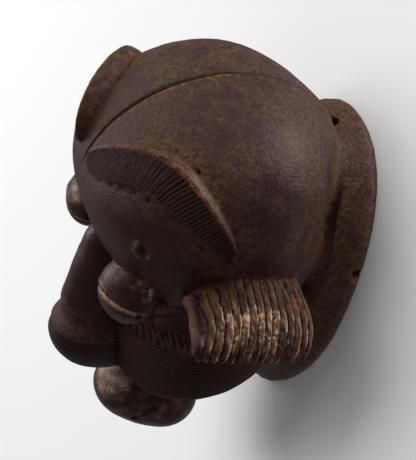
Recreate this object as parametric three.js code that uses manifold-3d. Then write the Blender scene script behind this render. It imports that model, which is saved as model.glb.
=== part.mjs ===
// A miniature carved wooden face mask, one piece, lying on its back rim with the face up.
// Millimetres. X runs to the mask's own left, Y to the top of its head and Z out of its face.

import * as THREE from "three";
import { mergeVertices } from "three/addons/utils/BufferGeometryUtils.js";
import Module from "manifold-3d";

const wasm = await Module();
wasm.setup();

const DEGREE = Math.PI / 180;
const QUARTER = 90 * DEGREE;
const HALF_TURN = 180 * DEGREE;

// The skull and the jaw are two rounded blocks that flow into each other.
// A squareness of 2 is an ellipsoid, and a higher one is boxier, across the face or down it.
// Behind its centre the skull narrows by its taper, more at the crown than at the ears.
// The jaw leans by its slope.
const SKULL = {
  centre: new THREE.Vector3(0, 27.7, 42.5),
  radii: new THREE.Vector3(43.8, 37.3, 44.1),
  taper: { above: 0.9, below: 0.15, from: 6, to: 36 },
  squareAcross: 2.5,
  squareDown: 1.9,
};
const JAW = {
  centre: new THREE.Vector3(0, -19.3, 34),
  radii: new THREE.Vector3(36.8, 37.3, 29.8),
  lean: 0.22,
  squareAcross: 2.1,
  squareDown: 2.2,
};
const SKULL_JAW_BLEND = 8;

// Behind this depth the head draws in to the neck of the collar.
const NECK_START = 13.5;
const NECK_PINCH = 1.5;

const HEAD_COLUMNS = 44;
const SKULL_ROWS = 14;
const CHIN_ROWS = 6;

// One incised line follows the middle of the head from between the brows over the crown.
const CROWN_LINE = { depth: 0.9, half: 1.1, front: 22, back: 44, fade: 5 };

// Beard grooves run round the jaw, lower in front than behind.
const GROOVES = { count: 14, top: -16, bottom: -35, depth: 0.5, slope: 0.3, side: 18, fade: 6 };

// The back rim is an egg outline that flares out round the head as a collar.
const RIM = { centreY: -3.5, side: 35.4, top: 56.7, bottom: 52, squareTop: 2.3, squareBottom: 1.85 };

// The neck and the edges are shares of the rim's reach, and the top flares less than the sides.
const COLLAR = {
  heightTop: 11,
  heightSide: 14,
  neck: 0.86,
  foot: 0.983,
  shoulder: 0.975,
  waist: 0.924,
  topFlare: 0.35,
  columns: 52,
};

// The back is hollowed to an egg-shaped bowl.
const HOLLOW = { side: 25.5, top: 45, bottom: 44, square: 2, depth: 58, columns: 32, rows: 7, below: 3 };

// One cord hole slants through the collar behind the crown into the hollow.
const CORD_HOLE = {
  radius: 2.5,
  length: 25,
  centre: new THREE.Vector3(0, 46.5, 7.6),
  lean: 30,
  corners: 6,
};

// Brows are crescent ledges, given in degrees round the skull's centre.
// The upper and lower edges rise between the inner and the outer end as an arch.
const BROW = {
  inner: 7,
  outer: 80,
  upperInner: 7,
  upperOuter: 0,
  upperRise: 28.5,
  upperRound: 0.6,
  lowerInner: 3,
  lowerOuter: -2.5,
  lowerRise: 13.5,
  lowerRound: 1.5,
  ledge: 5.7,
  ledgeEnd: 0.12,
  ledgeForward: 0.45,
  ledgeRound: 0.55,
  root: 3,
  stations: 22,
};

// The brow's section, as shares of its width down from the upper edge and of the ledge's height.
const BROW_BEVEL = { foot: 0.3, edge: 0.12, worn: 0.22, wornHeight: 0.97, lowerHeight: 0.8 };

// Eyes are coffee beans with a slit along them.
const EYE = {
  centre: new THREE.Vector3(23.8, -0.9, 70.2),
  radii: new THREE.Vector3(10.2, 10.7, 8.8),
  turn: 30,
  slitDepth: 0.9,
  slitNarrow: 5,
};

// The nose is a wedge that widens into a rolled base.
const NOSE = {
  root: new THREE.Vector3(0, 0.7, 71.5),
  rootRadius: 7.6,
  tip: new THREE.Vector3(0, -25.5, 71.4),
  tipRadius: 9.4,
  blend: 1.6,
};
const NOSE_BASE = {
  centre: new THREE.Vector3(0, -38, 65),
  radii: new THREE.Vector3(13, 13.5, 17),
  squareAcross: 2.3,
  squareDown: 2,
};

// The lips are two rounded lobes that flow into each other beside the mouth slit.
const UPPER_LIP = {
  centre: new THREE.Vector3(0, -64.5, 44.8),
  radii: new THREE.Vector3(14, 12.5, 15),
  squareAcross: 2,
  squareDown: 2,
};
const LOWER_LIP = {
  centre: new THREE.Vector3(0, -67.7, 34.5),
  radii: new THREE.Vector3(15.5, 11.2, 13),
  squareAcross: 2,
  squareDown: 2,
};
const LIP_BLEND = 7;

// Each ear is a ridged flap that stands out from a sloping root and hangs down.
// Its front end is a plain lobe.
const EAR = {
  back: 28.5,
  front: 63,
  slant: 4.5,
  thickness: 6,
  ridges: 12,
  ridgeDepth: 1,
  lobeSteps: 2,
  lobeShare: 0.16,
  rootX: 36,
  rootY: 18.5,
  frontDrop: 9,
  backDrop: 4,
  shoulderX: 58,
  shoulderRise: 1,
  shoulderFall: 3.5,
  edgeX: 62.5,
  edgeY: 8.1,
  edgeDrop: 0.4,
  corner: 1.6,
  stepsDown: 7,
};

// Moves every vertex of a geometry to where a function puts it.
function shaped(geometry, place) {
  const at = geometry.attributes.position;
  const point = new THREE.Vector3();
  for (let i = 0; i < at.count; i++) {
    point.fromBufferAttribute(at, i);
    place(point);
    at.setXYZ(i, point.x, point.y, point.z);
  }
  return geometry;
}

// A closed geometry as a solid for cutting and joining.
function solid(geometry) {
  const bare = geometry.clone();
  bare.deleteAttribute("normal");
  bare.deleteAttribute("uv");
  const merged = mergeVertices(bare, 1e-4);
  const corners = [];
  const index = merged.index.array;
  for (let i = 0; i < index.length; i += 3) {
    const [a, b, c] = index.slice(i, i + 3);
    if (a !== b && b !== c && c !== a) corners.push(a, b, c);
  }
  return new wasm.Manifold(
    new wasm.Mesh({
      numProp: 3,
      vertProperties: merged.attributes.position.array,
      triVerts: new Uint32Array(corners),
    }),
  );
}

function smoothstep(low, high, value) {
  return THREE.MathUtils.smoothstep(value, low, high);
}

// How much a block narrows behind its centre at a height.
function taperAt(y, taper) {
  if (!taper) return 0;
  return THREE.MathUtils.lerp(taper.below, taper.above, smoothstep(taper.from, taper.to, y));
}

// How far a point lies outside a rounded block, and less than zero inside it.
function blockField(point, block) {
  const forward = (point.z - block.centre.z) / block.radii.z;
  const width = block.radii.x * (1 - taperAt(point.y, block.taper) * Math.min(0, forward) ** 2);
  const x = Math.abs(point.x - block.centre.x) / width;
  const lift = (block.lean ?? 0) * (point.z - block.centre.z);
  const y = Math.abs(point.y - block.centre.y + lift) / block.radii.y;
  const z = Math.abs(forward);
  const down = (y ** block.squareDown + z ** block.squareDown) ** (1 / block.squareDown);
  const across = (x ** block.squareAcross + down ** block.squareAcross) ** (1 / block.squareAcross);
  return (across - 1) * Math.min(block.radii.x, block.radii.y, block.radii.z);
}

function blended(a, b, width) {
  const share = THREE.MathUtils.clamp(0.5 + (0.5 * (b - a)) / width, 0, 1);
  return b * (1 - share) + a * share - width * share * (1 - share);
}

function headField(point) {
  const whole = blended(blockField(point, SKULL), blockField(point, JAW), SKULL_JAW_BLEND);
  return whole + NECK_PINCH * Math.max(0, NECK_START - point.z);
}

// The distance from a start to where a field turns positive along a direction.
function reach(field, start, direction, furthest = 120) {
  const probe = new THREE.Vector3();
  let near = 0;
  let far = furthest;
  for (let step = 0; step < 34; step++) {
    const middle = (near + far) / 2;
    probe.copy(start).addScaledVector(direction, middle);
    if (field(probe) < 0) near = middle;
    else far = middle;
  }
  return near;
}

// The head is cut by rows, close together where the beard grooves run.
function headRows() {
  const rows = [];
  const top = SKULL.centre.y + SKULL.radii.y;
  const bottom = JAW.centre.y - JAW.radii.y;
  for (let row = 0; row <= SKULL_ROWS; row++) {
    rows.push(top - (top - GROOVES.top) * (1 - Math.cos((row / SKULL_ROWS) * QUARTER)));
  }
  const pitch = (GROOVES.top - GROOVES.bottom) / GROOVES.count;
  for (let groove = 0; groove < GROOVES.count; groove++) {
    rows.push(GROOVES.top - (groove + 0.5) * pitch, GROOVES.top - (groove + 1) * pitch);
  }
  for (let row = 1; row <= CHIN_ROWS; row++) {
    rows.push(GROOVES.bottom - (GROOVES.bottom - bottom) * Math.sin((row / CHIN_ROWS) * QUARTER));
  }
  return rows;
}

// The depth of the beard grooves on a row, at a depth of the face.
function grooveDepth(row, z) {
  const pitch = (GROOVES.top - GROOVES.bottom) / GROOVES.count;
  const turns = (GROOVES.top - row) / pitch;
  if (turns < 0 || turns > GROOVES.count) return 0;
  const wave = 0.5 - 0.5 * Math.cos(2 * Math.PI * turns);
  return GROOVES.depth * wave * smoothstep(GROOVES.side, GROOVES.side + GROOVES.fade, z);
}

// The angle of a head column, with the columns beside the middle drawn in to the crown line.
function columnTurn(turn, half) {
  const quarter = HEAD_COLUMNS / 4;
  const ahead = Math.abs(turn) <= QUARTER;
  const aside = ahead ? Math.abs(turn) : HALF_TURN - Math.abs(turn);
  const steps = (aside / QUARTER) * quarter;
  const drawn = steps < 1 ? steps * half : half + ((steps - 1) / (quarter - 1)) * (QUARTER - half);
  return Math.sign(turn) * (ahead ? drawn : HALF_TURN - drawn);
}

// The depth of the crown line on the middle column of a row.
function crownLineDepth(row, turn) {
  if (Math.abs(Math.sin(turn)) > 0.01) return 0;
  const start = Math.cos(turn) > 0 ? CROWN_LINE.front : CROWN_LINE.back;
  return CROWN_LINE.depth * smoothstep(start, start + CROWN_LINE.fade, row);
}

function head() {
  const rows = headRows();
  const last = rows.length - 1;
  const profile = rows.map((y, row) => new THREE.Vector2(row === 0 || row === last ? 0 : 1, y));
  const wheel = new THREE.LatheGeometry(profile.reverse(), HEAD_COLUMNS);
  const ahead = new THREE.Vector3(0, 0, 1);
  return shaped(wheel, (point) => {
    const row = point.y;
    const up = smoothstep(JAW.centre.y, SKULL.centre.y, row);
    const axis = new THREE.Vector3(0, row, THREE.MathUtils.lerp(JAW.centre.z, SKULL.centre.z, up));
    const pole = Math.hypot(point.x, point.z) < 0.5;
    const slope = GROOVES.slope * smoothstep(rows[last], GROOVES.bottom, row) * (1 - up);
    const even = Math.atan2(point.x, point.z);
    point.copy(axis);
    if (pole) {
      point.y -= CROWN_LINE.depth * up;
      return;
    }
    const drawn = columnTurn(even, CROWN_LINE.half / reach(headField, axis, ahead));
    const share = smoothstep(CROWN_LINE.front - 8, CROWN_LINE.front, row);
    const turn = THREE.MathUtils.lerp(even, drawn, share);
    const outward = new THREE.Vector3(Math.sin(turn), -slope * Math.cos(turn), Math.cos(turn)).normalize();
    point.addScaledVector(outward, reach(headField, axis, outward) - crownLineDepth(row, turn));
    point.addScaledVector(outward, -grooveDepth(row, point.z));
  });
}

// A point of an egg outline, towards an angle from its top.
function eggPoint(egg, angle) {
  const x = Math.sin(angle) / egg.side;
  const up = Math.cos(angle);
  const y = up / (up > 0 ? egg.top : egg.bottom);
  const blend = smoothstep(-0.35, 0.35, up);
  const square = egg.square ?? egg.squareBottom * (1 - blend) + egg.squareTop * blend;
  const radius = (Math.abs(x) ** square + Math.abs(y) ** square) ** (-1 / square);
  return new THREE.Vector2(radius * Math.sin(angle), radius * up);
}

// A turned shape, bent from a circle to an egg outline, with its axis along Z.
function eggTurned(profile, columns, egg, heightAt = () => 1, shareAt = (share) => share) {
  const turned = new THREE.LatheGeometry(profile, columns);
  return shaped(turned, (point) => {
    const angle = Math.atan2(point.x, -point.z);
    const share = shareAt(Math.hypot(point.x, point.z), angle);
    const outline = eggPoint(egg, angle);
    point.set(share * outline.x, RIM.centreY + share * outline.y, point.y * heightAt(angle));
  });
}

function collar() {
  const profile = [
    new THREE.Vector2(0, 0),
    new THREE.Vector2(COLLAR.foot, 0),
    new THREE.Vector2(1, 0.05),
    new THREE.Vector2(1, 0.24),
    new THREE.Vector2(COLLAR.shoulder, 0.36),
    new THREE.Vector2(COLLAR.waist, 0.6),
    new THREE.Vector2(COLLAR.neck, 1),
    new THREE.Vector2(0, 1),
  ];
  const besideTop = (angle) => Math.abs(Math.sin(angle / 2));
  const heightAt = (angle) => {
    return THREE.MathUtils.lerp(COLLAR.heightTop, COLLAR.heightSide, besideTop(angle) ** 0.8);
  };
  const shareAt = (share, angle) => {
    const flare = THREE.MathUtils.lerp(COLLAR.topFlare, 1, smoothstep(0.1, 0.8, besideTop(angle)));
    return share < 0.5 ? share : 1 - (1 - share) * flare;
  };
  return eggTurned(profile, COLLAR.columns, RIM, heightAt, shareAt);
}

function hollow() {
  const profile = [new THREE.Vector2(0, -HOLLOW.below), new THREE.Vector2(1, -HOLLOW.below)];
  for (let row = 0; row <= HOLLOW.rows; row++) {
    const angle = (row / HOLLOW.rows) * QUARTER;
    const share = row === HOLLOW.rows ? 0 : Math.cos(angle);
    profile.push(new THREE.Vector2(share, HOLLOW.depth * Math.sin(angle)));
  }
  return eggTurned(profile, HOLLOW.columns, HOLLOW);
}

function cordHole() {
  const { radius, length, centre, lean, corners } = CORD_HOLE;
  const drill = new THREE.CylinderGeometry(radius, radius, length, corners);
  drill.rotateX(lean * DEGREE);
  return drill.translate(centre.x, centre.y, centre.z);
}

// A point on the head by its angle to the mask's left and its angle upwards, raised by a height.
function onSkull(left, up, height) {
  const direction = new THREE.Vector3(
    Math.sin(left * DEGREE) * Math.cos(up * DEGREE),
    Math.sin(up * DEGREE),
    Math.cos(left * DEGREE) * Math.cos(up * DEGREE),
  );
  const distance = reach(headField, SKULL.centre, direction) + height;
  return direction.multiplyScalar(distance).add(SKULL.centre);
}

// The six corners of the brow's section at a share of its length.
function browSection(place) {
  const along = THREE.MathUtils.clamp(place, 0, 1);
  const left = THREE.MathUtils.lerp(BROW.inner, BROW.outer, along);
  const arch = Math.max(0, Math.sin(Math.PI * along));
  const upperEnd = THREE.MathUtils.lerp(BROW.upperInner, BROW.upperOuter, along);
  const lowerEnd = THREE.MathUtils.lerp(BROW.lowerInner, BROW.lowerOuter, along);
  const upper = upperEnd + BROW.upperRise * arch ** BROW.upperRound;
  const lower = lowerEnd + BROW.lowerRise * arch ** BROW.lowerRound;
  const swell = Math.max(0, Math.sin(Math.PI * along ** BROW.ledgeForward)) ** BROW.ledgeRound;
  const ledge = BROW.ledge * THREE.MathUtils.lerp(BROW.ledgeEnd, 1, swell);
  const width = upper - lower;
  return [
    onSkull(left, upper, -BROW.root),
    onSkull(left, upper, ledge * BROW_BEVEL.foot),
    onSkull(left, upper - width * BROW_BEVEL.edge, ledge),
    onSkull(left, upper - width * BROW_BEVEL.worn, ledge * BROW_BEVEL.wornHeight),
    onSkull(left, lower, BROW_BEVEL.lowerHeight),
    onSkull(left, lower, -BROW.root),
  ];
}

// A six-sided rod whose corners are moved to the brow's section.
function brow() {
  const rod = new THREE.CylinderGeometry(1, 1, 1, 6, BROW.stations);
  return shaped(rod, (point) => {
    const corners = browSection(point.y + 0.5);
    const centre = corners.reduce((sum, corner) => sum.add(corner), new THREE.Vector3()).divideScalar(6);
    const turn = Math.atan2(point.x, point.z) / (60 * DEGREE);
    const corner = corners[(Math.round(turn) + 6) % 6];
    point.copy(centre.lerp(corner, Math.min(1, Math.hypot(point.x, point.z))));
  });
}

function eye() {
  const bean = new THREE.SphereGeometry(1, 16, 12);
  shaped(bean, (point) => {
    const slit = Math.max(0, 1 - Math.abs(point.y) * EYE.slitNarrow);
    point.multiplyScalar(1 - (EYE.slitDepth / EYE.radii.z) * slit);
    point.multiply(EYE.radii);
  });
  bean.rotateY(EYE.turn * DEGREE);
  return bean.translate(EYE.centre.x, EYE.centre.y, EYE.centre.z);
}

function noseField(point) {
  const axis = new THREE.Line3(NOSE.root, NOSE.tip);
  const along = axis.closestPointToPointParameter(point, true);
  const radius = THREE.MathUtils.lerp(NOSE.rootRadius, NOSE.tipRadius, along);
  const wedge = axis.at(along, new THREE.Vector3()).distanceTo(point) - radius;
  return blended(wedge, blockField(point, NOSE_BASE), NOSE.blend);
}

function lipsField(point) {
  return blended(blockField(point, UPPER_LIP), blockField(point, LOWER_LIP), LIP_BLEND);
}

// A closed skin between two centres, drawn out to where a field turns positive.
function lobe(field, first, second, columns, rows) {
  const centre = first.clone().lerp(second, 0.5);
  return shaped(new THREE.SphereGeometry(1, columns, rows), (point) => {
    const direction = point.clone().normalize();
    point.copy(centre).addScaledVector(direction, reach(field, centre, direction));
  });
}

function nose() {
  return lobe(noseField, NOSE.tip, NOSE_BASE.centre, 20, 20);
}

function lips() {
  return lobe(lipsField, UPPER_LIP.centre, LOWER_LIP.centre, 20, 14);
}

// The line that the ear follows from its root over the shoulder to its hanging edge.
function earLine(drop, corner) {
  return new THREE.CubicBezierCurve(
    new THREE.Vector2(EAR.rootX, EAR.rootY - drop),
    new THREE.Vector2(EAR.shoulderX, EAR.rootY + EAR.shoulderRise - drop),
    new THREE.Vector2(EAR.edgeX - corner, EAR.rootY - EAR.shoulderFall - drop * EAR.edgeDrop),
    new THREE.Vector2(EAR.edgeX - corner, EAR.edgeY + corner),
  );
}

function ear() {
  const ridgeSteps = 2 * EAR.ridges;
  const steps = ridgeSteps + EAR.lobeSteps;
  const slab = new THREE.BoxGeometry(1, 1, 1, EAR.stepsDown, 1, steps);
  return shaped(slab, (point) => {
    const along = point.x + 0.5;
    const step = Math.round((point.z + 0.5) * steps);
    const onLobe = Math.max(0, step - ridgeSteps) / EAR.lobeSteps;
    const ridged = (Math.min(step, ridgeSteps) / ridgeSteps) * (1 - EAR.lobeShare);
    const place = ridged + onLobe * EAR.lobeShare;
    const forward = 2 * place - 1;
    const drop = EAR.frontDrop * Math.max(0, forward) ** 3 + EAR.backDrop * Math.min(0, forward) ** 2;
    const line = earLine(drop, EAR.corner * forward ** 8);
    const spine = line.getPoint(along);
    const tangent = line.getTangent(along);
    const valley = step < steps && step % 2 === 0 ? EAR.ridgeDepth : 0;
    const outward = point.y * EAR.thickness - (point.y > 0 ? valley : 0);
    const z = THREE.MathUtils.lerp(EAR.back, EAR.front, place) - EAR.slant * (1 - along);
    point.set(spine.x - tangent.y * outward, spine.y + tangent.x * outward, z);
  });
}

// The whole carving, cut flat on the floor, hollowed and pierced.
function maskSolid() {
  const leftSide = [brow(), eye(), ear()].map(solid);
  const rightSide = leftSide.map((piece) => piece.mirror([1, 0, 0]));
  const middle = [collar(), nose(), lips()].map(solid);
  const added = [...middle, ...leftSide, ...rightSide];
  const whole = added.reduce((sum, piece) => sum.add(piece), solid(head()));
  const floor = new THREE.BoxGeometry(300, 300, 60).translate(0, 0, -30);
  return [hollow(), cordHole(), floor].map(solid).reduce((rest, cut) => rest.subtract(cut), whole);
}

// The body as a mesh, centred over the origin.
function geometryOf(body) {
  const mesh = body.getMesh();
  const geometry = new THREE.BufferGeometry();
  geometry.setAttribute("position", new THREE.BufferAttribute(mesh.vertProperties, 3));
  geometry.setIndex(new THREE.BufferAttribute(mesh.triVerts, 1));
  geometry.computeBoundingBox();
  const middle = geometry.boundingBox.getCenter(new THREE.Vector3());
  geometry.translate(-middle.x, -middle.y, 0);
  geometry.computeVertexNormals();
  return geometry;
}

const wood = new THREE.MeshStandardMaterial({ color: 0x2b211b, roughness: 0.5, metalness: 0 });
const mask = new THREE.Mesh(geometryOf(maskSolid()), wood);
mask.name = "carved_mask";

const group = new THREE.Group();
group.add(mask);

export default group;
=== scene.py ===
"""A miniature mask carved from one block of dark wood, lying on its back rim with the face up."""

import math
from contextlib import contextmanager
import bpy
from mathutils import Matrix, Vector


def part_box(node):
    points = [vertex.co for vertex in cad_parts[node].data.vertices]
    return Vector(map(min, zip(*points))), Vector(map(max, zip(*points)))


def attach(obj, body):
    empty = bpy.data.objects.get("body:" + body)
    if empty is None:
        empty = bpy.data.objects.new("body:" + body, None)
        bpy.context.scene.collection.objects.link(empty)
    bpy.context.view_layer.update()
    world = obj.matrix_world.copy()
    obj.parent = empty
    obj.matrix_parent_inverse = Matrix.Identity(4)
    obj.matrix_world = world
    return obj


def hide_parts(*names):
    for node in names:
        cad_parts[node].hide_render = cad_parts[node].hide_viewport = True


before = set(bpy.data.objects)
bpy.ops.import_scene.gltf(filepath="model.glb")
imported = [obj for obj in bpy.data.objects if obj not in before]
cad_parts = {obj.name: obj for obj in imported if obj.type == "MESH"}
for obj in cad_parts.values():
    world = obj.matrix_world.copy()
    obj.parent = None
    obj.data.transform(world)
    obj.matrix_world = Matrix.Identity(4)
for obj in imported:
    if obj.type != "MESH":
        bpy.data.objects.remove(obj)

from types import SimpleNamespace

import bmesh
import bpy
import numpy as np
from bpy.props import FloatProperty, PointerProperty, StringProperty
from mathutils import Matrix, Vector, noise

bl_info = {
    "name": "Miniature carved mask",
    "version": (1, 0, 0),
    "blender": (4, 5, 0),
    "location": "View3D > Sidebar > Mask",
    "description": "Carves and finishes a small wooden mask over its plain solid",
    "category": "Object",
}

NODE = "carved_mask"
BODY = "root"
MOST_TRIANGLES = 190000

# Sizes are millimetres in the head's own frame, which lies this far below the middle of the box.
MM = 0.001
HEAD_DROP = 7.3737

# The head's forms. Its neck is drawn in below a height, and all forms join in soft hollows.
SKULL = {
    "centre": (0, 27.7, 42.5),
    "radii": (43.8, 37.3, 44.1),
    "across": 2.5,
    "down": 1.9,
    "taper": {"above": 0.9, "below": 0.15, "from": 6, "to": 36},
}
JAW = {
    "centre": (0, -19.3, 34),
    "radii": (36.8, 37.3, 29.8),
    "across": 2.1,
    "down": 2.2,
    "lean": 0.22,
}
SKULL_JAW_BLEND = 8
NECK_START = 13.5
NECK_PINCH = 1.5
CHIN = -56.6
NOSE = SimpleNamespace(
    root=(0, 0.7, 71.5),
    root_radius=7.6,
    tip=(0, -25.5, 71.4),
    tip_radius=9.4,
    blend=1.6,
)
NOSE_BASE = {"centre": (0, -38, 65), "radii": (13, 13.5, 17), "across": 2.3, "down": 2}
UPPER_LIP = {"centre": (0, -64.5, 44.8), "radii": (14, 12.5, 15)}
LOWER_LIP = {"centre": (0, -67.7, 34.5), "radii": (15.5, 11.2, 13)}
LIP_BLEND = 7
EYE = SimpleNamespace(centre=(23.8, -0.9, 70.2), radii=(10.2, 10.7, 8.8), turn=math.radians(30))
FILLET = 1.2

# Brow edges in degrees round the skull's centre, from the inner end to the outer one.
# The section goes from the foot over the worn edge to the lower edge, as shares of the width.
BROW = SimpleNamespace(
    inner=7,
    outer=80,
    upper_inner=7,
    upper_outer=0,
    upper_rise=28.5,
    upper_round=0.6,
    lower_inner=3,
    lower_outer=-2.5,
    lower_rise=13.5,
    lower_round=1.5,
    ledge=5.7,
    ledge_end=0.12,
    ledge_forward=0.45,
    ledge_round=0.55,
    foot=0.3,
    edge=0.12,
    worn=0.22,
    worn_height=0.97,
    lower_height=0.8,
)
# The brow's comb lines, which grow along its length, and the raised lip along its lower edge.
COMB = SimpleNamespace(
    sharp=6, faint=0.15, grows=(0.36, 0.6), starts=(0.2, 0.27), stops=(0.86, 0.93), lip=0.35
)
# An ear lies from back to front, hangs from its root over a shoulder to its edge, and drops at
# both ends. Its front end reaches forward past the plain solid's.
EAR = SimpleNamespace(
    back=28.5,
    front=63,
    slant=4.5,
    thickness=6,
    lobe=0.965,
    ridge=0.07,
    length=30,
    forward=2.7,
    forward_edge=1.2,
    end_lean=0.3,
    end_hang=2.6,
    end_round=2.2,
    root_x=36,
    root_y=18.5,
    front_drop=9,
    back_drop=4,
    shoulder_x=58,
    shoulder_rise=1,
    shoulder_fall=3.5,
    edge_x=62.5,
    edge_y=8.1,
    edge_drop=0.4,
    corner=1.6,
)
BEARD = SimpleNamespace(count=19, top=-16, bottom=-41.7, slope=0.3, side=18, fade=6, hatch=1.5)
COLLAR = SimpleNamespace(
    height=15,
    middle=-3.5,
    side=35.4,
    top=56.7,
    top_square=2.3,
    bottom=52,
    bottom_square=1.85,
)

# Small damage of the near side: where it is, how wide and how deep. A knot is the largest.
KNOT = (32.9, 22.4, 74.6)
PITS = (
    (KNOT, 2.8, 0.9),
    ((33.0, -3.8, 68.9), 1.6, 0.9),
    ((33.9, 16.0, 1.8), 2.4, 1.1),
    ((23.5, 45.5, 62.5), 0.8, 0.4),
)
# Short slanting cuts of a knife below the eye, from one end to the other.
GOUGES = (
    ((14.6, -22.9, 62.4), (16.4, -27.2, 59.9)),
    ((17.5, -21.8, 61.3), (19.2, -26.6, 58.8)),
    ((20.2, -20.3, 60.2), (21.8, -24.9, 57.6)),
    ((22.6, -19.0, 58.9), (23.8, -23.2, 56.4)),
)
# The corner of the mouth on the near side, a cut with a bare lip.
MOUTH = ((13.0, -69.5, 47.9), (14.3, -66.1, 46.6), (14.9, -63.7, 43.7), (14.4, -61.3, 39.4))
# A raised bar runs from the outer end of each eye to the ear, over a shadowed cut. Dirt sits along
# the root of the ear.
CHEEK_BAR = ((21.5, -10.6, 57.8), (25.5, -5.6, 57.2), (32, 1.6, 58.6), (38.5, 9.6, 60.6), (42, 12, 61.5))
BELOW_BAR = ((21.0, -14.5, 57.5), (27, -9.0, 55.2), (34.5, -1.5, 55.8))
EAR_ROOT = ((34, 17, 66), (40, 20, 56), (42, 21, 34))

# Patches of the patina, and one of painted shade under the near brow: where they are and how wide.
PATCHES = {
    "bare lobe": ((58.5, 8.6, 62.5), 2.6),
    "dirty crown": ((31, 49, 64), 8),
    "dusty ear": ((58.5, 15.5, 50.5), 10),
    "dusty ear behind": ((59, 15.5, 42.5), 10),
    "dusty eye corner": ((32, 4.5, 67.9), 3),
    "dusty upper lip": ((4, -57.5, 57), 10.5),
    "dusty far eye": ((-20, 4.5, 77), 6.5),
    "dark crown": ((18, 61, 54), 17),
    "dark crown side": ((36, 47, 46), 18),
    "painted shade under brow": ((26, 24, 80), 20),
    "glossy crown": ((38, 58, 36), 26),
}

# Metres in the part's frame. The lamps all face one place in the mask.
FLOOR_HALF = 6
LAMPS_FACE = (0, 0, 0.04)
CAMERA = SimpleNamespace(
    lens=100,
    sensor=36,
    near=0.01,
    at=(0.2980, 0.24718, 0.2071),
    across=(0.2954, 0.2821, -0.9128),
    back=(0.7174, 0.5655, 0.4069),
)


def ramp(low, high, value):
    """A share that goes from 0 to 1 as values go from low to high, which may be the lower one."""
    share = np.clip((value - low) / (high - low), 0, 1)
    return share * share * (3 - 2 * share)


def hump(value, centre, half):
    """1 at the centre, falling softly to 0 at a distance of half."""
    return ramp(half, 0, np.abs(value - centre))


def between(low, high, soft, value):
    """1 between two values and 0 outside them, with soft ends."""
    return ramp(low - soft, low + soft, value) * ramp(high + soft, high - soft, value)


def length(rows):
    """The length of each row."""
    return np.sqrt((rows * rows).sum(axis=1))


def spot(points, centre, radius):
    """1 at a centre, falling softly to 0 at a radius."""
    return ramp(radius, 0.25 * radius, length(points - centre))


def stroke(points, corners, half):
    """1 on the line through corners, falling softly to 0 at a distance of half."""
    away = np.full(len(points), np.inf)
    for start, end in zip(corners, corners[1:]):
        start = np.array(start, float)
        line = np.array(end, float) - start
        along = np.clip((points - start) @ line / (line @ line), 0, 1)
        away = np.minimum(away, length(points - start - along[:, None] * line))
    return ramp(half, 0, away)


def block_field(points, centre, radii, across=2.0, down=2.0, taper=None, lean=0.0):
    """How far points lie outside a rounded block, and less than zero inside it."""
    offset = points - centre
    forward = offset[:, 2] / radii[2]
    width = radii[0]
    if taper:
        share = ramp(taper["from"], taper["to"], points[:, 1])
        narrow = taper["below"] + (taper["above"] - taper["below"]) * share
        width = width * (1 - narrow * np.minimum(forward, 0) ** 2)
    x = np.abs(offset[:, 0]) / width
    y = np.abs(offset[:, 1] + lean * offset[:, 2]) / radii[1]
    downward = (y**down + np.abs(forward) ** down) ** (1 / down)
    whole = (x**across + downward**across) ** (1 / across)
    return (whole - 1) * min(radii)


def blended(a, b, width):
    """Two fields joined with a soft hollow between them."""
    share = np.clip(0.5 + 0.5 * (b - a) / width, 0, 1)
    return b * (1 - share) + a * share - width * share * (1 - share)


def head_field(points):
    """How far points lie outside the head, and less than zero inside it."""
    whole = blended(block_field(points, **SKULL), block_field(points, **JAW), SKULL_JAW_BLEND)
    return whole + NECK_PINCH * np.maximum(0, NECK_START - points[:, 2])


def nose_field(points):
    """How far points lie outside the nose and its wide base."""
    root = np.array(NOSE.root, float)
    axis = np.array(NOSE.tip, float) - root
    along = np.clip((points - root) @ axis / (axis @ axis), 0, 1)
    radius = NOSE.root_radius + (NOSE.tip_radius - NOSE.root_radius) * along
    wedge = length(points - root - along[:, None] * axis) - radius
    return blended(wedge, block_field(points, **NOSE_BASE), NOSE.blend)


def folded(points):
    """Points of either side on the left side."""
    return np.column_stack((np.abs(points[:, 0]), points[:, 1], points[:, 2]))


def in_eye_frame(points):
    """Points of either side in the frame of the left eye, with its slit along x."""
    offset = folded(points) - EYE.centre
    cosine, sine = math.cos(EYE.turn), math.sin(EYE.turn)
    x = offset[:, 0] * cosine - offset[:, 2] * sine
    z = offset[:, 0] * sine + offset[:, 2] * cosine
    return np.column_stack((x, offset[:, 1], z))


def eye_field(points):
    """How far points lie outside the bean of an eye."""
    return block_field(in_eye_frame(points), (0, 0, 0), EYE.radii)


def lips_field(points):
    """How far points lie outside the lips."""
    return blended(block_field(points, **UPPER_LIP), block_field(points, **LOWER_LIP), LIP_BLEND)


def carving_field(points):
    """The smooth form of the head with its nose, lips and eyes."""
    whole = head_field(points)
    for part in (nose_field(points), lips_field(points), eye_field(points)):
        whole = blended(whole, part, FILLET)
    return whole


def slope_of(field, points):
    """The gradient of a field at points."""
    step = 0.05
    nudges = step * np.eye(3)
    return np.column_stack([(field(points + n) - field(points - n)) / (2 * step) for n in nudges])


def settled(points, field, reach, share):
    """Points within reach of a field's surface, each moved onto it by its share."""
    moved = points.copy()
    chosen = np.flatnonzero(share > 0)
    chosen = chosen[np.abs(field(points[chosen])) < 2 * reach]
    for _ in range(2):
        at = moved[chosen]
        value = field(at)
        slope = slope_of(field, at)
        steep = np.maximum((slope * slope).sum(axis=1), 1e-6)
        near = share[chosen] * ramp(reach, 0.6 * reach, np.abs(value) / np.sqrt(steep))
        moved[chosen] -= slope * (value / steep * near)[:, None]
    return moved


def noise_at(points, size, seed=0.0):
    """Smooth noise, about -1 to 1, at points, with lumps of a size in millimetres."""
    scaled = points / size + seed
    return np.array([noise.noise(Vector(p)) for p in scaled.tolist()])


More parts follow.
